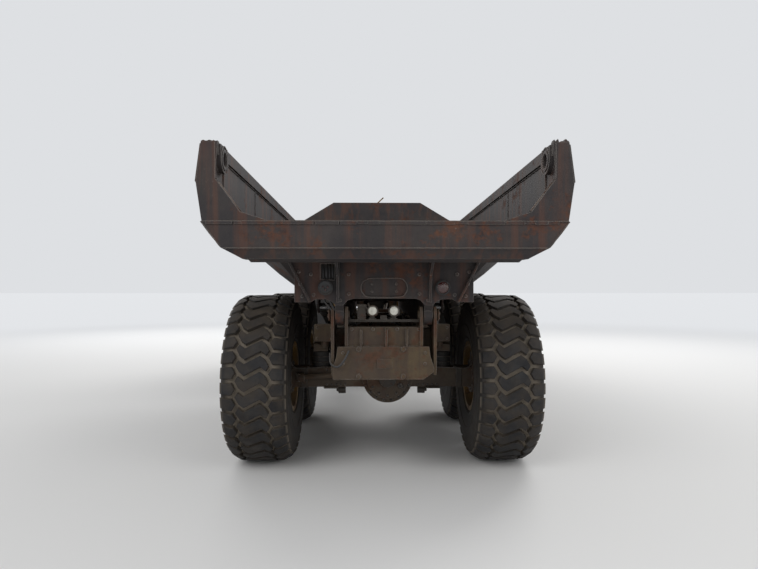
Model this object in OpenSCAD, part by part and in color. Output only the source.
// Articulated six-wheel dump truck, in millimetres.
// +Y points forward, +X to the right and +Z up. The origin is on the ground,
// midway along the machine and midway across it.

/* [Layout] */
// Rear axle to the rear edge of the body
rear_overhang = 1600; // [1500:10:1700]
// Distance between the two rear axles
bogie_pitch = 1670; // [1650:5:1720]
// Middle axle to the steering pivot
mid_to_pivot = 2860; // [2760:10:2960]
// Steering pivot to the front axle
pivot_to_front = 1270; // [1250:5:1300]
// Front axle to the nose
front_overhang = 2650; // [2620:10:2700]
// Distance between the centres of a left and a right tyre
track = 2275; // [2255:5:2300]

/* [Tyres and wheels] */
// Outer diameter of a tyre
tyre_d = 1615; // [1595:5:1630]
// Width of a tyre over its sidewalls
tyre_w = 597; // [580:1:605]
// Width of the tread
tread_w = 540; // [520:5:550]
// Diameter of the rim at the bead seats
rim_d = 635; // [620:5:645]
// Width of the rim between its flanges
rim_w = 495; // [480:5:505]
// Diameter of the planetary hub
hub_d = 420; // [380:5:430]
// Diameter of the axle spindle inside the hub
spindle_d = 150; // [130:2:160]

/* [Rear frame] */
// Outer width of the rear frame over its two rails
frame_w = 850; // [830:5:860]
// Width of one rear rail
rail_w = 110; // [95:5:120]
// Underside of the rear rails above the ground
rail_low = 1000; // [990:5:1015]
// Depth of the rear rails
rail_h = 330; // [310:5:340]
// Rear axle to the tipping hinge, rearwards
hinge_back = 900; // [880:5:930]
// Height of the tipping hinge
hinge_z = 1460; // [1450:2:1470]
// Diameter of the tipping hinge pin
hinge_pin_d = 70; // [60:2:80]
// Side offset of the walking beams
beam_x = 600; // [590:2:612]
// Thickness of a walking beam
beam_w = 140; // [120:5:150]

/* [Axles] */
// Height and depth of the square axle beam
axle_beam = 190; // [170:5:200]
// Diameter of the differential casing
banjo_d = 490; // [440:10:500]
// Sideways offset of the differential casings
banjo_x = 55; // [40:5:60]

/* [Body] */
// Inner half width of the load space
load_half = 1235; // [1215:5:1245]
// Height of the floor's upper face along the level stretch
floor_z = 1620; // [1615:5:1640]
// Thickness of the body plates
plate = 20; // [15:1:25]
// Height of the side walls' top edge at the tail
wall_top = 2745; // [2700:5:2850]
// Fall of the top edge towards the front, in mm per metre
wall_fall = 16; // [10:1:20]
// Height of the middle of the headboard
headboard_top = 3100; // [3000:10:3200]
// Length of the level floor from its front edge to the tail knee
level_floor = 3650; // [3550:10:3700]
// Height of the tail's upper edge
tail_z = 2170; // [2100:10:2200]
// Height of the tail lip's face
lip_h = 270; // [240:5:290]
// Steering pivot to the foot of the headboard
pivot_to_body = 1045; // [1000:5:1080]
// Diameter of the tailgate pivot eyes in the rear posts
eye_d = 110; // [90:2:120]

/* [Hitch and front frame] */
// Height of the hitch's centre line
hitch_z = 950; // [940:2:960]
// Diameter of the rotating hitch's journal
journal_d = 300; // [270:5:310]
// Diameter of the steering pivot pins
pivot_pin_d = 110; // [90:2:120]
// Outer half width of the front rails
front_rail_x = 340; // [330:2:345]
// Width of one front rail
front_rail_w = 100; // [85:5:110]

/* [Cab] */
// Width of the cab
cab_w = 1480; // [1440:10:1500]
// Steering pivot to the cab's rear wall
pivot_to_cab = 420; // [410:5:450]
// Length of the cab at its floor
cab_len = 1560; // [1540:10:1580]
// Top of the cab floor
cab_floor = 1720; // [1700:5:1740]
// Top of the cab roof
cab_top = 3270; // [3240:10:3300]
// Thickness of the cab's walls, pillars and door
cab_wall = 60; // [45:5:65]

/* [Hood] */
// Thickness of the hood shell
hood_t = 25; // [18:1:30]
// Half width of the hood at the cab
hood_half = 790; // [770:5:800]
// Half width of the hood at its nose
nose_half = 700; // [660:5:740]

/* [Fits] */
// Radial gap of each pin in its bore
pin_gap = 0.3; // [0.2:0.1:0.5]
// Side gap of an eye between its two lugs
eye_gap = 2; // [1:1:4]
// Gap between pieces that rest on each other
seat = 0.3; // [0.2:0.1:0.5]

/* [Hidden] */
$fn = 48;

paint = [0.62, 0.46, 0.16];
body_steel = [0.26, 0.19, 0.16];
dark_steel = [0.22, 0.21, 0.20];
rubber = [0.09, 0.09, 0.10];
chrome = [0.75, 0.75, 0.76];
glass_tint = [0.45, 0.55, 0.58];

// Stations along the machine
length = rear_overhang + bogie_pitch + mid_to_pivot + pivot_to_front + front_overhang;
y_tail = -length / 2;
y_rear = y_tail + rear_overhang;
y_mid = y_rear + bogie_pitch;
y_pivot = y_mid + mid_to_pivot;
y_front = y_pivot + pivot_to_front;
y_nose = length / 2;
y_bogie = (y_rear + y_mid) / 2;
y_hinge = y_rear - hinge_back;
y_body = y_pivot - pivot_to_body;
y_knee = y_body - level_floor;

axle_z = tyre_d / 2;
wheel_x = track / 2;
rim_r = rim_d / 2;
rail_x = frame_w / 2;
rail_top = rail_low + rail_h;

// Body cross sections, one row each: station, floor height, floor half width,
// bend offset, bend height, chamfer top height. The chamfer ends at the wall.
lip_t = 25;
y_lip = y_tail + lip_t + seat;
function level_row(y) = [y, floor_z, 700, 985, floor_z + 215, floor_z + 430];
tail_row = [y_lip, tail_z, 840, 1056, tail_z + 70, tail_z + 310];
SECTIONS = [level_row(y_body), level_row(y_knee), tail_row];
tail_slope = (tail_z - floor_z) / (y_knee - y_lip);

// A block between two corners
module block(x0, x1, y0, y1, z0, z1) {
    translate([x0, y0, z0]) cube([x1 - x0, y1 - y0, z1 - z0]);
}

// A side profile of [y, z] points, extruded from x0 to x1
module side_plate(points, x0, x1) {
    translate([x0, 0, 0]) rotate([90, 0, 90]) linear_extrude(x1 - x0) polygon(points);
}

// A front profile of [x, z] points, extruded from y0 to y1
module cross_plate(points, y0, y1) {
    translate([0, y1, 0]) rotate([90, 0, 0]) linear_extrude(y1 - y0) polygon(points);
}

// A plan of [x, y] points, extruded from z0 to z1
module flat_plate(points, z0, z1) {
    translate([0, 0, z0]) linear_extrude(z1 - z0) polygon(points);
}

// Cylinders along X and Y
module barrel_x(x0, x1, y, z, r) {
    translate([x0, y, z]) rotate([0, 90, 0]) cylinder(h = x1 - x0, r = r);
}

module barrel_y(x, y0, y1, z, r) {
    translate([x, y1, z]) rotate([90, 0, 0]) cylinder(h = y1 - y0, r = r);
}

// A round bar between two points
module bar(p, q, r) {
    d = q - p;
    run = norm(d);
    translate(p) rotate([0, acos(d[2] / run), atan2(d[1], d[0])]) cylinder(h = run, r = r);
}

// A pipe through a list of points, with ball corners
module pipe(points, r) {
    for (i = [0 : len(points) - 2]) bar(points[i], points[i + 1], r);
    for (i = [1 : len(points) - 2]) translate(points[i]) sphere(r = r * 1.2, $fn = 24);
}

// Both sides of something drawn on the right
module both_sides() {
    children();
    mirror([1, 0, 0]) children();
}

// Tyre: half section as [radius, offset] points, mirrored and revolved
bead_gap = 0.3;
tyre_r = tyre_d / 2;
flex_r = 580;
bead_r = rim_r + bead_gap;
flank_rise = 235;
flank_drop = (tyre_w - rim_w) / 2 + 1;
function flank(r) = tyre_w / 2 - flank_drop * pow((r - flex_r) / flank_rise, 2);
tyre_half = concat([[bead_r, rim_w / 2 - 1]],
    [for (i = [0 : 6]) let (r = flex_r - flank_rise + i * 68) [r, flank(r)]],
    [[tyre_r - 18, tread_w / 2], [tyre_r - 8, tread_w / 2 - 22], [tyre_r - 2, tread_w / 4],
        [tyre_r, 0]]);
tyre_wall = 42;
tyre_bore = [[bead_r, rim_w / 2 - 62], [flex_r - 60, tyre_w / 2 - tyre_wall],
    [flex_r + 60, tyre_w / 2 - tyre_wall], [tyre_r - 95, tread_w / 2 - 50], [tyre_r - 78, 0]];
function mirrored(points) = [for (i = [len(points) - 1 : -1 : 0]) [points[i][0], -points[i][1]]];

// Shoulder grooves between the lugs: a pocket from the crown down to the upper flank, as [radius, offset]
lug_count = 36;
groove_w = 42;
groove = [[tyre_r - 34, 110], [tyre_r - 44, 235], [tyre_r - 116, tyre_w / 2 + 10],
    [tyre_r + 10, tyre_w / 2 + 10], [tyre_r + 10, 110]];

module tyre(x, y) {
    color(rubber) translate([x, y, axle_z]) rotate([0, 90, 0]) difference() {
        rotate_extrude($fn = 96) polygon(concat(tyre_half, mirrored(tyre_half)));
        rotate_extrude($fn = 96) polygon(concat(tyre_bore, mirrored(tyre_bore)));
        for (i = [0 : lug_count - 1], side = [0, 1]) rotate([0, 0, (i + side / 2) * 360 / lug_count])
            mirror([0, 0, side]) rotate([90, 0, 0]) linear_extrude(groove_w, center = true) polygon(groove);
    }
}

// Wheel: rim, disc, planetary hub and brake disc, drawn with the outside at +X
rim_t = 18;
rim_flange = 27;
hub_in = 180;
hub_out = 135;
spindle_end = 85;
spindle_bore = 80;
brake_d = 500;

module rim(side, y) {
    r_hub = hub_d / 2;
    rim_profile = [[rim_r - rim_t, -rim_w / 2 - rim_t], [rim_r + rim_flange, -rim_w / 2 - rim_t],
        [rim_r + rim_flange, -rim_w / 2], [rim_r, -rim_w / 2], [rim_r, rim_w / 2],
        [rim_r + rim_flange, rim_w / 2], [rim_r + rim_flange, rim_w / 2 + rim_t],
        [rim_r - rim_t, rim_w / 2 + rim_t]];
    disc_profile = [[r_hub - 5, 40], [rim_r - rim_t + 1, -10], [rim_r - rim_t + 1, 20], [r_hub - 5, 75]];
    hub_profile = [[0, -spindle_bore], [spindle_d / 2 + pin_gap, -spindle_bore],
        [spindle_d / 2 + pin_gap, -hub_in], [r_hub - 25, -hub_in], [r_hub - 25, -60], [r_hub, -60],
        [r_hub, hub_out - 25], [r_hub - 45, hub_out], [r_hub - 70, hub_out + 35], [0, hub_out + 35]];
    brake_profile = [[r_hub - 30, -hub_in], [brake_d / 2, -hub_in], [brake_d / 2, -hub_in + 22],
        [r_hub - 30, -hub_in + 22]];
    color(paint) mirror([side < 0 ? 1 : 0, 0, 0]) translate([wheel_x, y, axle_z]) rotate([0, 90, 0])
        union() {
            rotate_extrude($fn = 72) polygon(rim_profile);
            rotate_extrude($fn = 72) polygon(disc_profile);
            rotate_extrude($fn = 72) polygon(hub_profile);
            rotate_extrude($fn = 72) polygon(brake_profile);
        }
}

// Axle: square beam, flanges, spindles and a differential casing, centred on a station
hub_face = wheel_x - hub_in - 8;

module axle(y, casing_x, casing_r, nose, nose_dir) {
    beam_low = axle_z - axle_beam / 2;
    both_sides() {
        block(0, hub_face - 40, y - axle_beam / 2, y + axle_beam / 2, beam_low, beam_low + axle_beam);
        barrel_x(hub_face - 60, hub_face, y, axle_z, 165);
        barrel_x(hub_face - 10, wheel_x - spindle_end, y, axle_z, spindle_d / 2);
        caliper(y);
    }
    barrel_y(casing_x, y - 130, y + 130, axle_z, casing_r);
    translate([0, y, 0]) mirror([0, nose_dir < 0 ? 1 : 0, 0]) {
        barrel_y(casing_x, -175, -125, axle_z, casing_r - 45);
        translate([casing_x, 0, axle_z]) rotate([-90, 0, 0]) cylinder(h = nose, r1 = casing_r - 20, r2 = 85);
    }
}

module rear_axles() {
    color(dark_steel) for (y = [y_rear, y_mid]) axle(y, banjo_x, banjo_d / 2, rear_nose, 1);
}

module front_axle() {
    color(dark_steel) axle(y_front, 0, 195, pivot_to_front - dropbox_y[1] - seat, -1);
}

// Brake caliper: a bridge over the rim of the brake disc
module caliper(y) {
    disc_in = wheel_x - hub_in;
    bridge_r = rim_r - rim_t - 15;
    difference() {
        block(disc_in - 40, disc_in + 56, y - 60, y + 60, axle_z + 200, axle_z + bridge_r);
        block(disc_in - 12, disc_in + 34, y - 70, y + 70, axle_z + 150, axle_z + brake_d / 2 + 8);
    }
    block(disc_in - 60, disc_in - 30, y - 60, y + 60, axle_z + 120, axle_z + 240);
}

// Rear frame
front_plate_y = y_pivot - 800;
housing_front = y_pivot - 450;
bogie_tube_z = 1060;
hoist_base_y = y_hinge + 3550;
hoist_base_z = hinge_z - 400;
hoist_x = 620;
hoist_eye_w = 116;
hoist_pin_r = 30;
hoist_lug_t = 20;
lug_x0 = hoist_x - hoist_eye_w / 2 - eye_gap;
lug_x1 = hoist_x + hoist_eye_w / 2 + eye_gap;
ear_in = rail_x - rail_w - 15;
ear_out = rail_x + 15;
ear_t = 25;
bed_rail_in = ear_in + ear_t + 10;
bed_rail_out = ear_out - ear_t - 10;

module rear_frame() {
    ear = [[y_hinge + 330, rail_low], [y_hinge + 330, rail_top], [y_hinge + 90, hinge_z + 70],
        [y_hinge - 70, hinge_z + 70], [y_hinge - 100, hinge_z - 80], [y_hinge - 60, rail_low - 40],
        [y_hinge + 60, rail_low - 40]];
    color(paint) union() {
        both_sides() {
            rail = [[front_plate_y, hitch_z - 190], [front_plate_y, rail_top], [y_hinge + 180, rail_top],
                [y_hinge + 180, rail_low], [y_mid + 900, rail_low]];
            side_plate(rail, rail_x - rail_w, rail_x);
            side_plate(ear, ear_in, ear_in + ear_t);
            side_plate(ear, ear_out - ear_t, ear_out);
            block(ear_in, ear_out, y_hinge + 200, y_hinge + 225, rail_low, rail_top);
            barrel_x(ear_in - 12, ear_out + 12, y_hinge, hinge_z, hinge_pin_d / 2);
            // Trunnion of the walking beam
            barrel_x(rail_x - 10, beam_x + beam_w / 2 + 30, y_bogie, bogie_tube_z, 68);
            barrel_x(rail_x - 10, beam_x - beam_w / 2 - 1, y_bogie, bogie_tube_z, 105);
            // Hoist cylinder bracket
            block(rail_x - 10, lug_x1 + hoist_lug_t, hoist_base_y + 75, hoist_base_y + 105, 1010, 1250);
            side_plate([[hoist_base_y - 55, hoist_base_z - 55], [hoist_base_y + 80, 1010],
                [hoist_base_y + 80, 1250], [hoist_base_y - 55, hoist_base_z + 55]], lug_x0 - hoist_lug_t, lug_x0);
            side_plate([[hoist_base_y - 55, hoist_base_z - 55], [hoist_base_y + 80, 1010],
                [hoist_base_y + 80, 1250], [hoist_base_y - 55, hoist_base_z + 55]], lug_x1, lug_x1 + hoist_lug_t);
            barrel_x(lug_x0 - hoist_lug_t - 10, lug_x1 + hoist_lug_t + 10, hoist_base_y, hoist_base_z, hoist_pin_r);
            // Rubber rest for the body
            for (y = [y_bogie - 300, y_bogie + 900, y_mid + 1500])
                block(bed_rail_in - 10, bed_rail_out + 10, y - 110, y + 110, rail_top, bed_rail_low - seat);
        }
        // Cross members
        for (y = [y_mid + 1450, y_mid + 500, y_bogie, y_rear - 420])
            block(-rail_x + rail_w - 5, rail_x - rail_w + 5, y - 60, y + 60, rail_low + 90, rail_top - 30);
        block(-ear_in, ear_in, y_hinge - 70, y_hinge + 90, rail_top - 130, rail_top + 30);
        for (x = [-190, 20, 190])
            side_plate([[y_hinge - 98, rail_top - 130], [y_hinge - 60, rail_top - 130],
                [y_hinge - 60, rail_top + 30], [y_hinge - 98, rail_top + 10]], x - 8, x + 8);
        // Bearing housing of the rotating hitch
        difference() {
            union() {
                barrel_y(0, front_plate_y - 10, housing_front, hitch_z, 225);
                barrel_y(0, housing_front - 45, housing_front, hitch_z, 255);
                block(-rail_x, rail_x, front_plate_y - 40, front_plate_y, hitch_z - 190, rail_top);
                both_sides() side_plate([[front_plate_y, hitch_z - 190], [front_plate_y, rail_top],
                    [housing_front - 60, hitch_z + 150], [housing_front - 60, hitch_z - 120]], 160, 190);
            }
            barrel_y(0, front_plate_y - 60, housing_front + 10, hitch_z, journal_d / 2 + pin_gap);
        }
    }
}

// Guard plate under the rear cross member
module rear_guard() {
    guard = [[-385, rail_top - 130], [-395, 1120], [-425, 1020], [-425, 930], [330, 930], [415, 990],
        [415, 1030], [385, 1120], [375, rail_top - 130]];
    color(paint) difference() {
        cross_plate(guard, y_hinge - 98, y_hinge - 84);
        for (x = [-210, 160]) for (z = [955, 1180]) barrel_y(x, y_hinge - 110, y_hinge - 70, z, 9);
    }
    color(paint) both_sides() side_plate([[y_hinge - 85, 930], [y_hinge - 40, 960], [y_hinge - 40, 1175],
        [y_hinge - 85, 1195]], ear_in + ear_t + seat, ear_in + ear_t + 12);
}

// Two round work lamps and a junction box on a bar between the hinge ears
lamp_z = hinge_z + 35;
lamp_bar = [1400, 1422];

module work_lamps() {
    color(dark_steel) union() {
        block(-ear_in + seat, ear_in - seat, y_hinge - 16, y_hinge + 16, lamp_bar[0], lamp_bar[1]);
        block(-222, -152, y_hinge - 32, y_hinge + 30, lamp_bar[1] - 1, lamp_bar[1] + 128);
        for (x = [-95, 85]) {
            block(x - 16, x + 16, y_hinge - 8, y_hinge + 8, lamp_bar[1] - 1, lamp_z - 35);
            barrel_y(x, y_hinge - 45, y_hinge + 12, lamp_z, 44);
            barrel_y(x, y_hinge + 11, y_hinge + 32, lamp_z, 30);
        }
        block(-30, 25, y_hinge - 24, y_hinge + 20, lamp_bar[1] - 1, lamp_bar[1] + 34);
    }
    color(chrome) for (x = [-95, 85]) barrel_y(x, y_hinge - 52, y_hinge - 45, lamp_z, 40);
}

// Walking beams
beam_ends = bogie_pitch / 2;
spring_low = axle_z + axle_beam / 2;
spring_top = 1065;

module walking_beams() {
    e = beam_ends;
    profile = [[-e - 110, spring_top], [-e - 110, 1130], [-e - 60, 1155], [-200, 1195], [200, 1195],
        [e + 60, 1155], [e + 110, 1130], [e + 110, spring_top], [e - 120, spring_top], [180, 930], [-180, 930],
        [-e + 120, spring_top]];
    beam = [for (p = profile) [p[0] + y_bogie, p[1]]];
    color(dark_steel) both_sides() difference() {
        union() {
            side_plate(beam, beam_x - beam_w / 2, beam_x + beam_w / 2);
            barrel_x(beam_x - beam_w / 2, beam_x + beam_w / 2 + 25, y_bogie, bogie_tube_z, 125);
        }
        barrel_x(beam_x - beam_w, beam_x + beam_w, y_bogie, bogie_tube_z, 68 + pin_gap);
    }
}

// Layered rubber springs between axle and beam
module bogie_springs() {
    layers = 3;
    step = (spring_top - spring_low) / layers;
    color(rubber) both_sides() for (y = [y_rear, y_mid]) translate([beam_x, y, spring_low])
        for (i = [0 : layers - 1]) {
            translate([0, 0, i * step]) cylinder(h = step - 10, r = 88);
            translate([0, 0, i * step]) cylinder(h = step, r = 74);
        }
}

// A shaft that runs rearwards from p to q, with a flange and a joint at both ends
joint_len = 70;

module drive_shaft(p, q, r) {
    a = p - [0, joint_len, 0];
    b = q + [0, joint_len, 0];
    barrel_y(p[0], p[1] - 24, p[1], p[2], r + 40);
    barrel_y(p[0], a[1], p[1], p[2], r + 8);
    barrel_y(q[0], q[1], q[1] + 24, q[2], r + 40);
    barrel_y(q[0], q[1], b[1], q[2], r + 8);
    for (c = [a, b]) translate(c) sphere(r = r + 20);
    bar(a, b, r);
}

rear_nose = 330;

module rear_driveline() {
    color(dark_steel) union() {
        drive_shaft([0, y_pivot - journal_end - seat, hitch_z], [banjo_x, y_mid + rear_nose + seat, axle_z], 45);
        drive_shaft([banjo_x, y_mid - 175 - seat, axle_z], [banjo_x, y_rear + rear_nose + seat, axle_z], 42);
    }
}

// Torque rods between a hanger under the frame and the axles
module bogie_links() {
    low_z = axle_z - axle_beam / 2 - 40 - seat;
    x = rail_x - 45;
    color(dark_steel) both_sides() {
        side_plate([[y_bogie - 60, low_z - 50], [y_bogie - 120, rail_low - seat], [y_bogie + 120, rail_low - seat],
            [y_bogie + 60, low_z - 50]], x - 15, x + 15);
        bar([x + 20, y_rear, low_z], [x + 20, y_mid, low_z], 24);
        for (y = [y_rear, y_mid]) barrel_x(x - 20, x + 50, y, low_z, 40);
        barrel_x(x - 25, x + 50, y_bogie, low_z, 48);
    }
}

// Body floor: a level plate and a tail that rises from the knee
bed_rail_low = rail_top + 30;

module floor_slab(row) {
    translate([seat - row[2], row[0], row[1] - plate]) cube([2 * (row[2] - seat), 1, plate]);
}

module bed_floor() {
    half = SECTIONS[0][2];
    spans = [[-half + 30, -bed_rail_out - seat], [-bed_rail_in + seat, bed_rail_in - seat],
        [bed_rail_out + seat, half - 30]];
    color(body_steel) union() {
        side_plate([[y_knee, floor_z - plate], [y_knee, floor_z], [lean_y(floor_z) - board_gap, floor_z],
            [lean_y(floor_z - plate) - board_gap, floor_z - plate]], -half, half);
        hull() {
            floor_slab(SECTIONS[1]);
            floor_slab(SECTIONS[2]);
        }
        for (i = [0 : 4], span = spans) let (y = y_knee + 410 + i * 720)
            block(span[0], span[1], y - 30, y + 30, floor_z - plate - 40, floor_z - plate + 1);
    }
}

// Body sides, drawn on the right
wall_out = load_half + plate;
post_depth = 230;
// How far the wall plate laps down over the chamfer
wall_lap = 25;
rail_box = 90;
post_out = load_half + 95;
post_knuckle = [load_half + 137, 2450];
eye_y = y_tail + 135;
eye_z = wall_top - 107;
lean = 13;
board_gap = plate / cos(lean) + seat;
skin = [plate * 0.6, -plate * 0.8];
function lean_y(z) = y_body + (z - floor_z) * tan(lean);
function edge_z(y) = wall_top - (y - y_tail) * wall_fall / 1000;
front_edge = edge_z(y_body);
// Corners of a section from the floor's edge to the wall
function corners(row) = [[row[2], row[1]], [row[3], row[4]], [load_half, row[5]]];

module level_facets() {
    c = corners(SECTIONS[0]);
    difference() {
        for (i = [0, 1])
            cross_plate([c[i], c[i + 1], c[i + 1] + skin, c[i] + skin], y_knee, y_body + 250);
        translate([0, y_body, floor_z]) rotate([-lean, 0, 0]) block(0, 1500, -plate - seat, 600, -300, 900);
    }
}

module tail_facet(i) {
    hull() for (row = [SECTIONS[1], SECTIONS[2]]) let (c = corners(row))
        translate([0, row[0] + 1, 0]) rotate([90, 0, 0]) linear_extrude(1)
            polygon([c[i], c[i + 1], c[i + 1] + skin, c[i] + skin]);
}

module bed_side() {
    a = SECTIONS[0];
    c = SECTIONS[2];
    wall_low = a[5] - wall_lap;
    wall = [[y_knee, wall_low], [y_lip, c[5] - wall_lap], [y_lip, wall_top - 5],
        [lean_y(front_edge), front_edge - 5], [lean_y(wall_low), wall_low]];
    post = [[c[2], tail_z + seat], [post_out, tail_z + seat], post_knuckle, [post_out + 5, wall_top + 5],
        [load_half - 20, wall_top + 5], [load_half, c[5]], [c[3], c[4]]];
    color(body_steel) difference() {
        union() {
            side_plate(wall, load_half, wall_out);
            level_facets();
            for (i = [0, 1]) tail_facet(i);
            // Top rail
            side_plate([[y_tail + 20, wall_top - rail_box], [y_tail + 20, wall_top],
                [lean_y(front_edge) - 5, front_edge], [lean_y(front_edge - rail_box) - 5, front_edge - rail_box]],
                load_half - 20, post_out);
            // Rear post
            cross_plate(post, y_tail, y_lip + 1);
            cross_plate([[load_half, c[5] - 20], [post_out + 15, c[5] - 100], post_knuckle, [post_out + 5, wall_top],
                [load_half, wall_top]], y_tail, y_tail + post_depth);
            // Outer stiffeners
            for (i = [0 : 5]) let (y = lean_y(front_edge) - 500 - i * 780, top = edge_z(y) - rail_box + 5)
                cross_plate([[wall_out - 5, a[5] + 40], [wall_out + 70, a[5] + 160], [wall_out + 70, top],
                    [wall_out - 5, top]], y - 55, y + 55);
            // Doubler round the tailgate pivot eye
            barrel_x(load_half - 34, load_half, eye_y, eye_z, 100);
            block(load_half - 34, load_half, eye_y - 100, eye_y + 100, eye_z, wall_top - 8);
        }
        barrel_x(load_half - 60, post_out + 90, eye_y, eye_z, eye_d / 2);
    }
}

// Headboard: a leaning plate with sloped shoulders and stiffeners in front
module bed_headboard() {
    a = SECTIONS[0];
    function rise(z) = (z - floor_z) / cos(lean);
    edge = load_half - seat;
    shoulder_z = 2775;
    half = [[0, rise(floor_z - plate)], [a[2] + skin[0], rise(floor_z - plate)], [a[3] + skin[0], rise(a[4] + skin[1])],
        [edge, rise(a[5] + skin[1])], [edge, rise(front_edge - rail_box) - 8],
        [edge - 20, rise(front_edge - rail_box) - 8], [edge - 20, rise(front_edge) + 2],
        [post_out, rise(front_edge) + 2], [post_out - 90, rise(shoulder_z)], [725, rise(headboard_top)],
        [0, rise(headboard_top)]];
    outline = concat(half, [for (i = [len(half) - 2 : -1 : 1]) [-half[i][0], half[i][1]]]);
    color(body_steel) translate([0, y_body, floor_z]) rotate([-lean, 0, 0]) union() {
        cross_plate(outline, -plate, 0);
        for (x = [-1000, -340, 340, 1000])
            block(x - 50, x + 50, 0, 60, x * x > 250000 ? 330 : 40, rise(2720));
        block(-1180, 1180, 0, 70, rise(2250), rise(2350));
        block(-725, 725, -plate, 60, rise(headboard_top) - 60, rise(headboard_top));
    }
    // Stone guard below the headboard's corners
    color(body_steel) both_sides()
        cross_plate([[a[2] + 30, floor_z - 30], [a[2] + 30, 1500], [1290, 1500], [1290, 2070], [wall_out + seat, 2070],
            [wall_out + seat, a[5] - wall_lap - seat], [a[3] + 14, a[4] - 26]], y_body - 30, y_body - 10);
}

// Tail lip: a box beam across the rear edge
module bed_tail_lip() {
    low = tail_z - lip_h;
    fold = [load_half - 50, low + 75];
    foot = load_half - 190;
    face = [[-post_out - 5, tail_z], [-fold[0], fold[1]], [-foot, low], [foot, low], [fold[0], fold[1]],
        [post_out + 5, tail_z]];
    depth = 170;
    back_z = low - depth * tail_slope * 0.3;
    function under_floor(y) = tail_z - plate - (y - y_lip) * tail_slope - seat;
    color(body_steel) union() {
        // Upright face above the fold, and a strip below it that leans in
        intersection() {
            cross_plate(face, y_tail - 1, y_tail + depth);
            side_plate([[y_tail, tail_z], [y_tail, fold[1]], [y_tail + 45, low], [y_tail + 45 + lip_t, low],
                [y_tail + lip_t, fold[1] + 4], [y_tail + lip_t, tail_z]], -load_half - 200, load_half + 200);
        }
        side_plate([[y_tail + 50, low], [y_tail + 50, low + 20], [y_tail + depth, back_z + 20], [y_tail + depth, back_z]],
            -foot + 35, foot - 35);
        both_sides() {
            cross_plate([[960, tail_z - 25], [post_out - 5, tail_z - 25], [post_out, tail_z], [965, tail_z]],
                y_tail + 20, y_tail + 60);
            // Wing plate behind the slanted edge
            cross_plate([[fold[0] - 12, fold[1]], [post_out - 8, tail_z], [post_out + 8, tail_z],
                [fold[0] + 4, fold[1]]], y_tail + 10, y_tail + 200);
            cross_plate([[foot - 14, low], [fold[0] - 12, fold[1]], [fold[0] + 4, fold[1]], [foot + 4, low]],
                y_tail + 58, y_tail + 200);
            for (x = [300, 700]) side_plate([[y_tail + 60, low + 15], [y_tail + 20, fold[1] + 20], [y_tail + 20, under_floor(y_lip)],
                [y_lip, under_floor(y_lip)], [y_tail + depth, under_floor(y_tail + depth)], [y_tail + depth, back_z + 15]],
                x - 8, x + 8);
        }
    }
}

// Subframe of the body: two rails with hinge ears, a cross panel and hoist lugs
hoist_top_y = y_hinge + 1600;
hoist_top_z = hinge_z + 5;
panel_y = y_hinge - 135;
panel_half = 735;
// Window in the panel that the hoses run down through
hose_window = [[-520, -405], [1756, 1885]];

module bed_subframe() {
    function tail_low(y) = floor_z - plate + (y_knee - y) * tail_slope - seat;
    under = floor_z - plate - seat;
    rail = [[y_body - 40, bed_rail_low], [y_body - 40, under], [y_knee, under],
        [panel_y + 5, tail_low(panel_y + 5)], [panel_y + 5, hinge_z + 90], [y_hinge - 60, hinge_z + 20],
        [y_hinge + 60, bed_rail_low + 20], [y_hinge + 200, bed_rail_low]];
    rib = [[panel_y, tail_low(panel_y)], [y_tail + 200, tail_low(y_tail + 200)],
        [y_tail + 200, tail_low(y_tail + 200) - 100], [panel_y - 60, hinge_z + 330], [panel_y - 20, hinge_z + 110],
        [panel_y, hinge_z + 110]];
    rib_x = bed_rail_in + 35;
    panel_top = tail_low(panel_y + 10);
    arch = [[250, 1600], [300, 1585], [335, 1545], [400, 1545], [430, 1575], [480, 1595], [560, 1595], [600, 1570],
        [panel_half, 1570], [panel_half, panel_top - 160], [panel_half + 70, panel_top]];
    panel = concat([for (i = [len(arch) - 1 : -1 : 0]) [-arch[i][0], arch[i][1]]], arch);
    color(body_steel) union() {
        both_sides() {
            difference() {
                union() {
                    side_plate(rail, bed_rail_in, bed_rail_out);
                    barrel_x(bed_rail_in, bed_rail_out, y_hinge, hinge_z, 84);
                }
                barrel_x(bed_rail_in - 20, bed_rail_out + 20, y_hinge, hinge_z, hinge_pin_d / 2 + pin_gap);
            }
            // Hoist lugs with pin heads
            lug = [[hoist_top_y - 110, under - 20], [hoist_top_y - 60, hoist_top_z - 60],
                [hoist_top_y + 60, hoist_top_z - 60], [hoist_top_y + 110, under - 20]];
            side_plate(lug, lug_x0 - hoist_lug_t, lug_x0);
            side_plate(lug, lug_x1, lug_x1 + hoist_lug_t);
            barrel_x(lug_x0 - hoist_lug_t - 14, lug_x0 - hoist_lug_t, hoist_top_y, hoist_top_z, 42);
            barrel_x(lug_x1 + hoist_lug_t, lug_x1 + hoist_lug_t + 14, hoist_top_y, hoist_top_z, 42);
        }
        block(-lug_x0, lug_x0, hoist_top_y - 70, hoist_top_y + 70, under - 62, under);
        block(-lug_x1 - hoist_lug_t, lug_x1 + hoist_lug_t, hoist_top_y - 115, hoist_top_y + 115, under - 25, under);
        difference() {
            cross_plate(panel, panel_y - 10, panel_y + 10);
            for (x = [-114, 114]) barrel_y(x, panel_y - 11, panel_y + 2, 1690, 76);
            block(-114, 114, panel_y - 11, panel_y + 2, 1614, 1766);
            block(hose_window[0][0], hose_window[0][1], panel_y - 11, panel_y + 11, hose_window[1][0], hose_window[1][1]);
        }
        both_sides() {
            side_plate(rib, rib_x, rib_x + 20);
            // Slanted edge bar of the panel
            cross_plate([[600, 1571], [615, 1571], [panel_half + 69, panel_top - 1], [panel_half + 50, panel_top - 1]],
                panel_y - 45, panel_y - 9);
        }
    }
}

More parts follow.
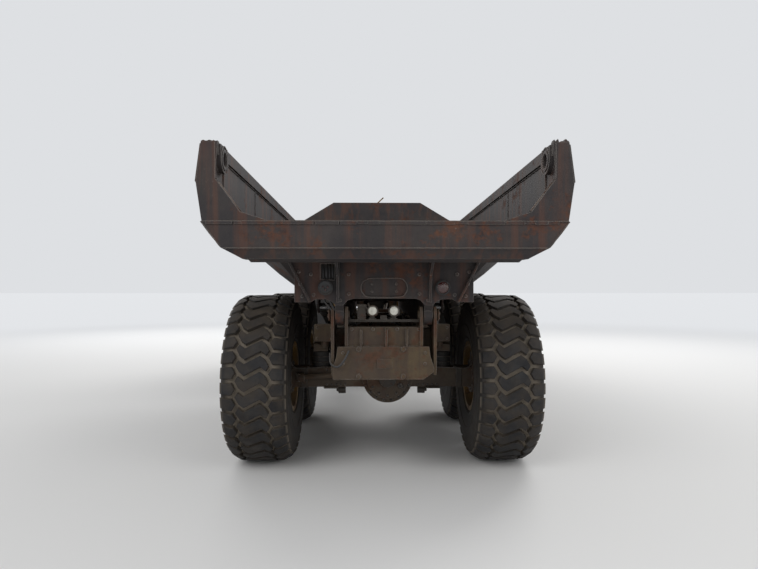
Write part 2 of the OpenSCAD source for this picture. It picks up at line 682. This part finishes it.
// Round tail lamps on the cross panel
lamp_x = 480;

module tail_lamps() {
    color([0.45, 0.10, 0.08]) both_sides() {
        barrel_y(lamp_x, panel_y - 34, panel_y - 10, 1690, 62);
        barrel_y(lamp_x, panel_y - 42, panel_y - 34, 1690, 51);
    }
}

// Hoist cylinders: barrel and rod lie on the line from the base pin to the top eye
hoist_rest = norm([hoist_top_y - hoist_base_y, hoist_top_z - hoist_base_z]);
hoist_tilt = atan2(hoist_top_z - hoist_base_z, hoist_base_y - hoist_top_y);
hoist_rod_r = 42;

// Places a cylinder drawn along +X, from its base eye, on the line to its rod eye
module on_hoist_line() {
    translate([hoist_x, hoist_base_y, hoist_base_z]) rotate([0, 0, -90]) rotate([0, -hoist_tilt, 0]) children();
}

// Barrel of a cylinder: an eye at the origin and a tube that ends in a gland
gland = 60;
eye_neck = 42;

module cylinder_barrel(eye_w, eye_r, pin_r, bore_r, rod_r, run, wall) {
    foot = eye_r + eye_neck;
    difference() {
        union() {
            rotate([90, 0, 0]) cylinder(h = eye_w, r = eye_r, center = true);
            block(0, foot + 1, -eye_w / 2 + 8, eye_w / 2 - 8, -eye_r * 0.7, eye_r * 0.7);
            translate([foot, 0, 0]) rotate([0, 90, 0]) cylinder(h = run - foot, r = bore_r + wall);
            translate([run - gland, 0, 0]) rotate([0, 90, 0]) cylinder(h = gland, r = bore_r + wall * 1.5);
        }
        rotate([90, 0, 0]) cylinder(h = eye_w + 60, r = pin_r + pin_gap, center = true);
        translate([foot + 12, 0, 0]) rotate([0, 90, 0]) cylinder(h = run - foot - 12 - gland, r = bore_r);
        translate([run - gland - 10, 0, 0]) rotate([0, 90, 0]) cylinder(h = gland + 20, r = rod_r + pin_gap);
    }
}

// Rod of a cylinder: a piston at its start, and an eye at the rest length
module cylinder_rod(eye_w, eye_r, bore_r, rod_r, start, rest) {
    translate([rest, 0, 0]) rotate([90, 0, 0]) cylinder(h = eye_w, r = eye_r, center = true);
    translate([start, 0, 0]) rotate([0, 90, 0]) cylinder(h = rest - start - eye_r + 20, r = rod_r);
    translate([start, 0, 0]) rotate([0, 90, 0]) cylinder(h = 40, r = bore_r - pin_gap);
}

module hoist_barrel() {
    color(dark_steel) on_hoist_line() cylinder_barrel(hoist_eye_w, 55, hoist_pin_r, 60, hoist_rod_r, 1860, 14);
}

module hoist_rod() {
    color(chrome) on_hoist_line() cylinder_rod(hoist_eye_w, 50, 60, hoist_rod_r, 130, hoist_rest);
}

// Rotating hitch: steering eyes in front, a journal behind, and two cylinder arms
steer_arm = [420, -270];
steer_base = [500, 1000];
steer_eye_h = 96;
steer_gap_low = hitch_z - steer_eye_h / 2 - eye_gap;
steer_gap_top = hitch_z + steer_eye_h / 2 + eye_gap;
steer_lug_t = 28;
steer_pin_r = 28;
eye_low = [710, 820];
eye_top = [1080, 1190];
pivot_eye_r = 115;
journal_end = 840;

module hitch_yoke() {
    color(paint) translate([0, y_pivot, 0]) union() {
        difference() {
            union() {
                for (span = [eye_low, eye_top]) {
                    translate([0, 0, span[0]]) cylinder(h = span[1] - span[0], r = pivot_eye_r);
                    block(-pivot_eye_r, pivot_eye_r, -400, 0, span[0], span[1]);
                }
                block(-pivot_eye_r - 20, pivot_eye_r + 20, -400, -190, eye_low[0], eye_top[1]);
            }
            translate([0, 0, 600]) cylinder(h = 700, r = pivot_pin_d / 2 + pin_gap);
        }
        barrel_y(0, -449, -390, hitch_z, 240);
        barrel_y(0, -journal_end, -440, hitch_z, journal_d / 2);
        // Drive through the hitch, with a joint at the steering pivot
        barrel_y(0, -200, 0, hitch_z, 40);
        translate([0, 0, hitch_z]) sphere(r = 65);
        both_sides() for (z = [steer_gap_low - steer_lug_t, steer_gap_top])
            flat_plate([[60, -390], [60, -200], [steer_arm[0] - 50, steer_arm[1] + 55], [steer_arm[0] + 32, steer_arm[1] + 45],
                [steer_arm[0] + 44, steer_arm[1] - 50], [steer_arm[0] - 60, steer_arm[1] - 75]], z, z + steer_lug_t);
        both_sides() for (z = [steer_gap_low - steer_lug_t - 12, steer_gap_top + steer_lug_t])
            translate([steer_arm[0], steer_arm[1], z]) cylinder(h = 12, r = 40);
    }
}

front_rail_z = [950, 1250];
rail_end = y_nose - 330;
neck_x = 225;
cab_beam_y = [y_pivot + 740, y_front + 620];

// Front frame: fork plates, neck, rails, cross members and cab mounts
module front_frame() {
    fork_top = [eye_top[1] + eye_gap, eye_top[1] + 50];
    fork_low = [eye_low[0] - 50, eye_low[0] - eye_gap];
    x_in = front_rail_x - front_rail_w;
    y_rail = y_pivot + 650;
    base = [steer_base[0], y_pivot + steer_base[1]];
    color(paint) union() {
        for (span = [fork_top, fork_low]) translate([0, y_pivot, 0]) {
            translate([0, 0, span[0]]) cylinder(h = span[1] - span[0], r = pivot_eye_r + 10);
            flat_plate([[-pivot_eye_r - 10, 0], [-250, 330], [-250, 650], [250, 650], [250, 330], [pivot_eye_r + 10, 0]],
                span[0], span[1]);
        }
        translate([0, y_pivot, fork_low[0] + 10]) cylinder(h = eye_low[1] - fork_low[0] - 10, r = pivot_pin_d / 2);
        translate([0, y_pivot, eye_top[0]]) cylinder(h = fork_top[1] - eye_top[0] - 10, r = pivot_pin_d / 2);
        for (z = [[fork_low[0], hitch_z - 110], [hitch_z + 110, fork_top[1]]])
            block(-front_rail_x, front_rail_x, y_rail, y_rail + 50, z[0], z[1]);
        both_sides() {
            // Narrow neck between the fork and the rails
            block(neck_x - 40, neck_x, y_pivot + 300, y_rail + 10, fork_low[0] + 10, fork_top[1] - 10);
            side_plate([[y_rail, fork_low[0]], [y_rail, front_rail_z[1]], [rail_end, front_rail_z[1]],
                [rail_end, front_rail_z[0]], [y_rail + 330, front_rail_z[0]], [y_rail + 150, fork_low[0]]],
                x_in, front_rail_x);
            // Clevis of the steering cylinder
            for (z = [steer_gap_low - steer_lug_t, steer_gap_top])
                flat_plate([[front_rail_x - 10, base[1] - 110], [front_rail_x - 10, base[1] + 110],
                    [base[0] + 40, base[1] + 50], [base[0] + 50, base[1] - 45]], z, z + steer_lug_t);
            translate([base[0], base[1], steer_gap_low - steer_lug_t - 10])
                cylinder(h = steer_gap_top - steer_gap_low + 2 * steer_lug_t + 20, r = steer_pin_r);
            // Beams that carry the cab and the fenders
            for (y = cab_beam_y) {
                block(x_in + 10, fender_x[0] - seat, y - 45, y + 45, 1440, 1520);
                block(x_in + 10, front_rail_x - 10, y - 45, y + 45, front_rail_z[1] - 5, 1445);
                translate([cab_half - 38, y, 1515]) cylinder(h = cab_base - seat - 1515, r = 34);
            }
        }
        for (y = [y_front + 700, y_front + 1900])
            block(-x_in - 5, x_in + 5, y - 50, y + 50, front_rail_z[0] + 20, front_rail_z[0] + 120);
    }
}

// Steering cylinders, drawn on the right between the front clevis and the hitch arm
steer_rest = norm(steer_base - steer_arm);
steer_turn = atan2(steer_arm[1] - steer_base[1], steer_arm[0] - steer_base[0]);

module on_steer_line() {
    translate([steer_base[0], y_pivot + steer_base[1], hitch_z]) rotate([0, 0, steer_turn]) rotate([90, 0, 0]) children();
}

module steer_barrel() {
    color(dark_steel) on_steer_line() cylinder_barrel(steer_eye_h, 50, steer_pin_r, 45, 30, 855, 10);
}

module steer_rod() {
    color(chrome) on_steer_line() cylinder_rod(steer_eye_h, 46, 45, 30, 430, steer_rest);
}

// Front suspension struts and their towers
module front_suspension() {
    x = 560;
    low = axle_z + axle_beam / 2 + seat;
    in = front_rail_x + seat;
    color(dark_steel) both_sides() {
        translate([x, y_front, low]) cylinder(h = 260, r = 62);
        translate([x, y_front, low + 250]) cylinder(h = 200, r = 42);
        translate([x, y_front, low + 440]) cylinder(h = 60, r = 70);
        block(in, x + 70, y_front - 70, y_front + 70, low + 500, low + 560);
        block(in, in + 25, y_front - 110, y_front + 110, 1100, low + 560);
    }
}

dropbox_y = [730, 960];
engine_y = [y_pivot + 2020, y_pivot + 3130];

// Gearbox with dropbox and the shaft towards the hitch
module gearbox() {
    z = 1260;
    back = y_pivot + dropbox_y[0];
    color(dark_steel) union() {
        block(-215, 215, back, y_pivot + dropbox_y[1], 700, 1180);
        barrel_y(0, y_pivot + dropbox_y[1] - 80, engine_y[0] - seat, z, 190);
        barrel_y(0, y_pivot + dropbox_y[1] + 20, y_pivot + dropbox_y[1] + 70, z, 210);
        block(-170, 170, y_pivot + 1500, y_pivot + 1850, 1040, 1150);
        drive_shaft([0, back, hitch_z], [0, y_pivot + 65 + seat, hitch_z], 42);
    }
}

// Engine block seated on the rails
module engine() {
    color(dark_steel) union() {
        block(-360, 360, engine_y[0], engine_y[1], front_rail_z[1] + seat, 1880);
        block(-225, 225, engine_y[0] + 40, engine_y[1] - 50, 960, 1260);
    }
}

// Radiator in front of the engine
module radiator() {
    y = y_pivot + 3320;
    color(dark_steel) {
        difference() {
            block(-520, 520, y, y + 130, front_rail_z[1] + seat, 1790);
            block(-470, 470, y + 110, y + 140, 1290, 1750);
        }
        for (i = [0 : 8]) let (z = 1310 + i * 52) block(-470, 470, y + 108, y + 122, z, z + 14);
        barrel_y(0, y - 60, y, 1500, 230);
    }
}

// Bumper and belly guard
bumper_z = [620, 1020];
hinge_x = 300;
hinge_eye = 34;
hinge_pin_r = 12;
hood_hinge = [y_nose - 95, bumper_z[1] + 28];

module bumper() {
    plan = [[-1190, y_nose - 470], [-1190, y_nose - 190], [-820, y_nose], [820, y_nose], [1190, y_nose - 190],
        [1190, y_nose - 470]];
    inner = [[-1130, y_nose - 480], [-1130, y_nose - 225], [-800, y_nose - 60], [800, y_nose - 60],
        [1130, y_nose - 225], [1130, y_nose - 480]];
    color(dark_steel) union() {
        difference() {
            flat_plate(plan, bumper_z[0], bumper_z[1]);
            translate([0, 0, -1]) flat_plate(inner, bumper_z[0], bumper_z[1] - 30);
            both_sides() block(880, 1080, y_nose - 200, y_nose + 10, 760, 880);
            block(-front_rail_x - 10, front_rail_x + 10, y_nose - 480, rail_end + seat, bumper_z[0], bumper_z[1] + 1);
        }
        both_sides() block(240, 340, rail_end + seat, y_nose - 55, 700, bumper_z[1]);
        // Ears and pins of the hood's hinge
        both_sides() {
            for (x = [hinge_x - hinge_eye / 2 - eye_gap - 20, hinge_x + hinge_eye / 2 + eye_gap])
                side_plate([[hood_hinge[0] - 40, bumper_z[1] - 5], [hood_hinge[0] - 18, hood_hinge[1] + 16],
                    [hood_hinge[0] + 18, hood_hinge[1] + 16], [hood_hinge[0] + 40, bumper_z[1] - 5]], x, x + 20);
            barrel_x(hinge_x - 50, hinge_x + 50, hood_hinge[0], hood_hinge[1], hinge_pin_r);
        }
        side_plate([[y_nose - 60, 640], [y_nose - 330, 600], [y_nose - 1300, 720], [y_nose - 1300, 740],
            [y_nose - 330, 622], [y_nose - 60, 660]], -330, 330);
        both_sides() side_plate([[y_nose - 1280, 735], [y_nose - 1280, front_rail_z[0] - seat],
            [y_nose - 1230, front_rail_z[0] - seat], [y_nose - 1200, 735]], 250, 262);
    }
}

// Headlamps standing on the bumper
module headlamps() {
    color(dark_steel) both_sides() block(850, 1150, y_nose - 300, y_nose - 150, bumper_z[1] + seat, bumper_z[1] + 170);
    color(glass_tint) both_sides() for (x = [925, 1075])
        barrel_y(x, y_nose - 150, y_nose - 138, bumper_z[1] + 88, 62);
}

// Fenders: an arch band with a flat deck and a rear flap
deck_z = 1780;
arch_r = tyre_r + 85;
fender_x = [cab_w / 2 + 75, 1425];
fender_y = [y_front - 830, y_front + 900];

module fenders() {
    t = 30;
    y0 = fender_y[0];
    y1 = fender_y[1];
    color(paint) both_sides() union() {
        difference() {
            side_plate([[y0, 1330], [y0, deck_z - 90], [y0 + 110, deck_z], [y1, deck_z], [y1, 1330]],
                fender_x[0], fender_x[1]);
            barrel_x(fender_x[0] - 10, fender_x[1] + 10, y_front, axle_z, arch_r);
            // Pockets behind the arch, one to each side of its crown
            difference() {
                side_plate([[y0 + t, 1320], [y0 + t, deck_z - 95], [y0 + 120, deck_z - t], [y1 - t, deck_z - t],
                    [y1 - t, 1320]], fender_x[0] + t, fender_x[1] - t);
                barrel_x(fender_x[0], fender_x[1], y_front, axle_z, arch_r + t);
            }
        }
        block(fender_x[0], fender_x[1], y0, y0 + 14, 800, 1335);
    }
}

// Ladders in front of the fenders, with a deck on top and a grab rail
module ladders() {
    y0 = fender_y[1] + seat;
    y1 = y0 + 500;
    rail_y = [y1 - 30, y0 - 400];
    color(paint) both_sides() {
        // Deck with its rear apron, ladder, and grab rail
        union() {
            block(fender_x[0], fender_x[1] - 20, y0, y1, deck_z - 40, deck_z);
            block(fender_x[0], fender_x[1] - 20, y0, y0 + 15, 1330, deck_z - 39);
        }
        union() {
            for (x = [900, 1365]) block(x, x + 15, y0 + 60, y1 - 60, 560, deck_z - 40 - seat);
            for (z = [560, 850, 1140, 1430]) block(901, 1379, y0 + 60, y1 - 60, z, z + 30);
        }
        pipe([[1380, rail_y[0], deck_z + seat], [1380, rail_y[0], 2250], [1380, y0 - 100, 2380], [1380, rail_y[1], 2380],
            [1380, rail_y[1], deck_z + seat]], 17);
    }
}

// Fuel and hydraulic tanks under the rear of the cab
module tanks() {
    y0 = y_pivot + 150;
    y1 = y_pivot + 410;
    color(paint) both_sides() {
        side_plate([[y0, 1130], [y0, 1420], [y1, 1420], [y1, 1080], [y0 + 50, 1080]], 490, 790);
        translate([640, y0 + 130, 1419]) cylinder(h = 31, r = 50);
        block(neck_x + seat, 495, y1 - 30, y1, 1100, 1180);
    }
}

// Cab: lower shell and pillars, with its window and door openings cut
cab_base = 1560;
cab_half = cab_w / 2;
cab_rear = y_pivot + pivot_to_cab;
cab_fore = cab_rear + cab_len;
sill = 2330;
head = cab_top - 170;
screen_lean = 0.26;
door_gap = 6;
door_y = [cab_rear + 200, cab_rear + 1080];
door_z = [deck_z + 40, head - 30];
function fore_at(z) = cab_fore - max(0, z - sill) * screen_lean;

module cab_block(inset, z0, z1) {
    side_plate([[cab_rear + inset, z0], [cab_rear + inset, z1], [fore_at(z1) - inset, z1], [fore_at(sill) - inset, sill],
        [cab_fore - inset, z0]], -cab_half + inset, cab_half - inset);
}

// Door hinges: the cab carries the pins and the door the knuckles
knuckle_z = [door_z[0] + 150, door_z[1] - 240];
knuckle_h = 90;
knuckle_r = 14;
door_pin_r = 6;
door_axis = [-cab_half - knuckle_r, door_y[1] - 20];

module door_hinge_bracket(z) {
    translate([door_axis[0], door_axis[1], z]) {
        cylinder(h = 10, r = knuckle_r - 1);
        block(-knuckle_r + 1, knuckle_r - 1, 0, 20 + door_gap + 2, 0, 10);
        block(-knuckle_r + 1, knuckle_r + 1, 20 + door_gap + 1, 20 + door_gap + 45, 0, 10);
    }
}

module cab_shell() {
    w = cab_wall;
    color(paint) for (z = knuckle_z) {
        for (k = [z - 10 - eye_gap, z + knuckle_h + eye_gap]) door_hinge_bracket(k);
        translate([door_axis[0], door_axis[1], z - 10]) cylinder(h = knuckle_h + 20, r = door_pin_r);
    }
    color(paint) difference() {
        cab_block(0, cab_base, head);
        cab_block(w, cab_floor, head + 1);
        // Windscreen and rear window
        block(-cab_half + w + 20, cab_half - w - 20, cab_fore - 500, cab_fore + 10, sill + 20, head - 70);
        block(-cab_half + w + 60, cab_half - w - 60, cab_rear - 10, cab_rear + w + 10, sill, head - 70);
        // Side window on the right, door opening on the left, and a quarter window on both sides
        block(cab_half - w - 10, cab_half + 10, door_y[0], door_y[1], sill - 180, head - 70);
        block(-cab_half - 10, -cab_half + w + 10, door_y[0] - door_gap, door_y[1] + door_gap,
            door_z[0] - door_gap, door_z[1] + door_gap);
        both_sides() side_plate([[door_y[1] + 70, sill], [door_y[1] + 70, head - 70], [fore_at(head - 70) - 70, head - 70],
            [fore_at(sill) - 80, sill]], cab_half - w - 10, cab_half + 10);
        // Room under the floor between the mounts
        block(-cab_half + 80, cab_half - 80, cab_rear + 80, cab_fore - 80, cab_base - 1, cab_floor - 50);
        // Seams between the side panels and the floor with its end walls
        both_sides() block(cab_half - w - seat, cab_half - w, cab_rear - 10, cab_fore + 10, cab_base - 10, head + 10);
    }
}

module cab_roof() {
    z0 = head + seat;
    front = fore_at(head);
    mast = [-20, cab_rear + 500, cab_top];
    color(paint) difference() {
        side_plate([[cab_rear - 30, z0], [cab_rear - 30, head + 90], [cab_rear + 40, cab_top], [front - 60, cab_top],
            [front + 90, head + 70], [front + 90, z0]], -cab_half - 15, cab_half + 15);
        block(-cab_half + cab_wall, cab_half - cab_wall, cab_rear + cab_wall, front - cab_wall, head, head + 80);
    }
    color(dark_steel) {
        translate(mast - [0, 0, 1]) cylinder(h = 31, r = 45);
        bar(mast + [0, 0, 20], mast + [165, -30, 172], 12, $fn = 8);
    }
}

module cab_glass() {
    g = 12;
    side = cab_half - cab_wall - 20 - seat;
    low = sill + 20 + seat;
    top = head - 70 - seat;
    pane_x = cab_half - 36;
    color(glass_tint) {
        // Windscreen, rear window, right window and the two quarter windows
        side_plate([[fore_at(low) - 40, low], [fore_at(top) - 40, top], [fore_at(top) - 40 + g, top],
            [fore_at(low) - 40 + g, low]], -side, side);
        block(-side + 40, side - 40, cab_rear + 24, cab_rear + 24 + g, sill + seat, top);
        block(pane_x, pane_x + g, door_y[0] + seat, door_y[1] - seat, sill - 180 + seat, top);
        both_sides() side_plate([[door_y[1] + 70 + seat, sill + seat], [door_y[1] + 70 + seat, top],
            [fore_at(top) - 70 - seat, top], [fore_at(sill) - 80 - seat, sill + seat]], pane_x, pane_x + g);
    }
}

module cab_interior() {
    seat_y = cab_rear + 330;
    low = cab_floor + seat;
    color(rubber) {
        block(-200, 200, seat_y, seat_y + 420, low, cab_floor + 301);
        block(-250, 250, seat_y - 20, seat_y + 480, cab_floor + 300, cab_floor + 440);
        side_plate([[seat_y - 40, cab_floor + 430], [seat_y + 90, cab_floor + 430], [seat_y - 10, cab_floor + 1080],
            [seat_y - 120, cab_floor + 1080]], -230, 230);
        // Dashboard, column and steering wheel
        side_plate([[cab_fore - 280, low], [cab_fore - 330, cab_floor + 480], [cab_fore - 200, cab_floor + 560],
            [cab_fore - 75, cab_floor + 520], [cab_fore - 75, low]], -cab_half + cab_wall + 30, cab_half - cab_wall - 30);
        bar([0, cab_fore - 300, cab_floor + 400], [0, cab_fore - 450, cab_floor + 640], 30);
    }
    color(rubber) translate([0, cab_fore - 450, cab_floor + 640]) rotate([32, 0, 0]) {
        rotate_extrude($fn = 48) translate([200, 0]) circle(r = 17, $fn = 16);
        bar([-200, 0, 0], [200, 0, 0], 14);
    }
}

// Left door with its own window
module door_left() {
    y0 = door_y[0];
    y1 = door_y[1];
    x0 = -cab_half;
    color(paint) union() {
        difference() {
            block(x0, x0 + cab_wall - 12, y0, y1, door_z[0], door_z[1]);
            block(x0 - 10, x0 + cab_wall, y0 + 70, y1 - 70, sill - 180, door_z[1] - 70);
        }
        // Knuckles on the front edge and a handle
        for (z = knuckle_z) difference() {
            union() {
                translate([door_axis[0], door_axis[1], z]) cylinder(h = knuckle_h, r = knuckle_r);
                block(door_axis[0] - knuckle_r + 4, x0 + 1, door_axis[1] - 40, door_axis[1] - 9, z, z + knuckle_h);
            }
            translate([door_axis[0], door_axis[1], z - 1]) cylinder(h = knuckle_h + 2, r = door_pin_r + pin_gap);
        }
        pipe([[x0 + 5, y0 + 45, sill - 300], [x0 - 40, y0 + 45, sill - 300], [x0 - 40, y0 + 45, sill - 120],
            [x0 + 5, y0 + 45, sill - 120]], 10);
    }
    color(glass_tint) block(x0 + 20, x0 + 32, y0 + 69, y1 - 69, sill - 181, door_z[1] - 69);
}

module mirrors() {
    y = cab_fore - 90;
    x = 1340;
    foot_top = [cab_half + seat, fore_at(head - 60) - 60, head - 60];
    foot_low = [cab_half + seat, y, 2250];
    color(dark_steel) both_sides() union() {
        for (f = [foot_top, foot_low]) barrel_x(f[0], f[0] + 14, f[1], f[2], 34);
        pipe([foot_top + [10, 0, 0], [x, y, head - 60], [x, y, 2420], foot_low + [10, 0, 0]], 16);
        block(x - 100, x + 100, y - 55, y + 5, 2500, 2960);
    }
}

// Exhaust stack on the right deck and air cleaner on the left
module exhaust() {
    x = 980;
    y = y_front + 800;
    color(dark_steel) union() {
        translate([x, y, deck_z + seat]) cylinder(h = 60, r = 90);
        translate([x, y, deck_z + 50]) cylinder(h = 720, r = 125);
        translate([x, y, deck_z + 760]) cylinder(h = 420, r = 58);
        translate([x, y, deck_z + 1160]) rotate([25, 0, 0]) cylinder(h = 140, r = 58);
    }
}

module air_cleaner() {
    x = -990;
    y = y_front + 740;
    color(dark_steel) union() {
        translate([x, y, deck_z + seat]) cylinder(h = 470, r = 150);
        translate([x, y, deck_z + 460]) cylinder(h = 190, r = 60);
        translate([x, y, deck_z + 630]) cylinder(h = 90, r1 = 135, r2 = 110);
    }
}

// Hood: a hollow shell that narrows and slopes to the nose
hood_rear = cab_fore + 25;
hood_nose = y_nose - 75;
hood_low = 1060;
hood_back_z = 2280;
hood_front_z = 1850;

hood_skirt = 1300;
hood_slope = 60;
grille_half = 500;
grille_z = [hood_low + 70, 1690];
// Front face of the hood at a height
function hood_face(z) = hood_nose - hood_slope * min(1, max(0, (z - hood_low - 20) / (hood_skirt - hood_low - 20)));

// The hood's outer form, or the room inside it at an inset
module hood_solid(inset) {
    back = hood_rear - (inset > 0 ? 5 : 0);
    hull() {
        block(-hood_half + inset, hood_half - inset, back, hood_rear + 10, hood_skirt, hood_back_z - inset - 60);
        block(-hood_half + 130 + inset, hood_half - 130 - inset, back, hood_rear + 10, hood_skirt, hood_back_z - inset);
        block(-nose_half + inset, nose_half - inset, hood_nose - 160, hood_nose - hood_slope - inset, hood_skirt,
            hood_front_z - 90 - inset);
        block(-nose_half + 120 + inset, nose_half - 120 - inset, hood_nose - 160, hood_nose - 110 - inset, hood_skirt,
            hood_front_z - inset);
    }
}

// The lower part of the nose, down to the bumper
module hood_chin(inset, rise) {
    hull() {
        block(-nose_half + inset, nose_half - inset, hood_nose - 420 - inset, hood_nose - hood_slope - inset,
            hood_skirt - 5, hood_skirt + rise);
        block(-nose_half + 30 + inset, nose_half - 30 - inset, hood_nose - 300 - inset, hood_nose - inset,
            hood_low - (inset > 0 ? 1 : 0), hood_low + 20);
    }
}

module hood() {
    color(paint) {
        difference() {
            union() {
                hood_solid(0);
                hood_chin(0, 0);
            }
            hood_solid(hood_t);
            hood_chin(hood_t, 40);
            block(-nose_half + 60, nose_half - 60, hood_nose - 450, hood_nose - 270, hood_low - 5, hood_skirt + 20);
            block(-grille_half, grille_half, hood_nose - 200, hood_nose + 20, grille_z[0], grille_z[1]);
            both_sides() block(hinge_x - 55, hinge_x + 55, hood_hinge[0] - 60, hood_nose + 10, hood_low - 5, hood_low + 35);
        }
        // Hinge eyes that hang in the notches
        both_sides() difference() {
            side_plate([[hood_hinge[0] - 25, hood_hinge[1]], [hood_hinge[0] - 10, hood_low + 60],
                [hood_face(hood_low + 60) - 3, hood_low + 60], [hood_face(hood_low + 36) - 3, hood_low + 36],
                [hood_hinge[0] + 24, hood_hinge[1] + 8], [hood_hinge[0] + 24, hood_hinge[1] - 8],
                [hood_hinge[0] + 8, hood_hinge[1] - 24], [hood_hinge[0] - 10, hood_hinge[1] - 24]],
                hinge_x - hinge_eye / 2, hinge_x + hinge_eye / 2);
            barrel_x(hinge_x - 30, hinge_x + 30, hood_hinge[0], hood_hinge[1], hinge_pin_r + pin_gap);
        }
    }
}

// Grille: slats between posts in the hood's opening
module grille() {
    half = grille_half - seat;
    color(dark_steel) {
        for (i = [0 : 9]) let (z = grille_z[0] + 30 + i * 55)
            block(-half, half, hood_face(z) - 40, hood_face(z) - 8, z, z + 18);
        for (x = [-half, -12, half - 24]) side_plate([[hood_face(grille_z[0]) - 35, grille_z[0] + seat],
            [hood_face(grille_z[0]) - 5, grille_z[0] + seat], [hood_face(hood_skirt) - 5, hood_skirt],
            [hood_face(hood_skirt) - 5, grille_z[1] - seat], [hood_face(hood_skirt) - 35, grille_z[1] - seat],
            [hood_face(hood_skirt) - 35, hood_skirt]], x, x + 24);
    }
}

rear_frame();
rear_guard();
work_lamps();
walking_beams();
bogie_springs();
rear_axles();
rear_driveline();
bogie_links();
bed_floor();
both_sides() bed_side();  // bed_sides
bed_headboard();
bed_tail_lip();
bed_subframe();
tail_lamps();
hitch_yoke();
front_frame();
front_axle();  // axle_front
front_suspension();
gearbox();
engine();
radiator();
bumper();
headlamps();
fenders();
ladders();
tanks();
cab_shell();
cab_roof();
cab_glass();
cab_interior();
door_left();
mirrors();
exhaust();
air_cleaner();
hood();
grille();
tyre(-wheel_x, y_rear);  // tyre_rear_left
tyre(wheel_x, y_rear);  // tyre_rear_right
tyre(-wheel_x, y_mid);  // tyre_mid_left
tyre(wheel_x, y_mid);  // tyre_mid_right
tyre(-wheel_x, y_front);  // tyre_front_left
tyre(wheel_x, y_front);  // tyre_front_right
rim(-1, y_rear);  // rim_rear_left
rim(1, y_rear);  // rim_rear_right
rim(-1, y_mid);  // rim_mid_left
rim(1, y_mid);  // rim_mid_right
rim(-1, y_front);  // rim_front_left
rim(1, y_front);  // rim_front_right
both_sides() hoist_barrel();  // hoist_barrels
both_sides() hoist_rod();  // hoist_rods
mirror([1, 0, 0]) steer_barrel();  // steer_barrel_left
steer_barrel();  // steer_barrel_right
mirror([1, 0, 0]) steer_rod();  // steer_rod_left
steer_rod();  // steer_rod_right
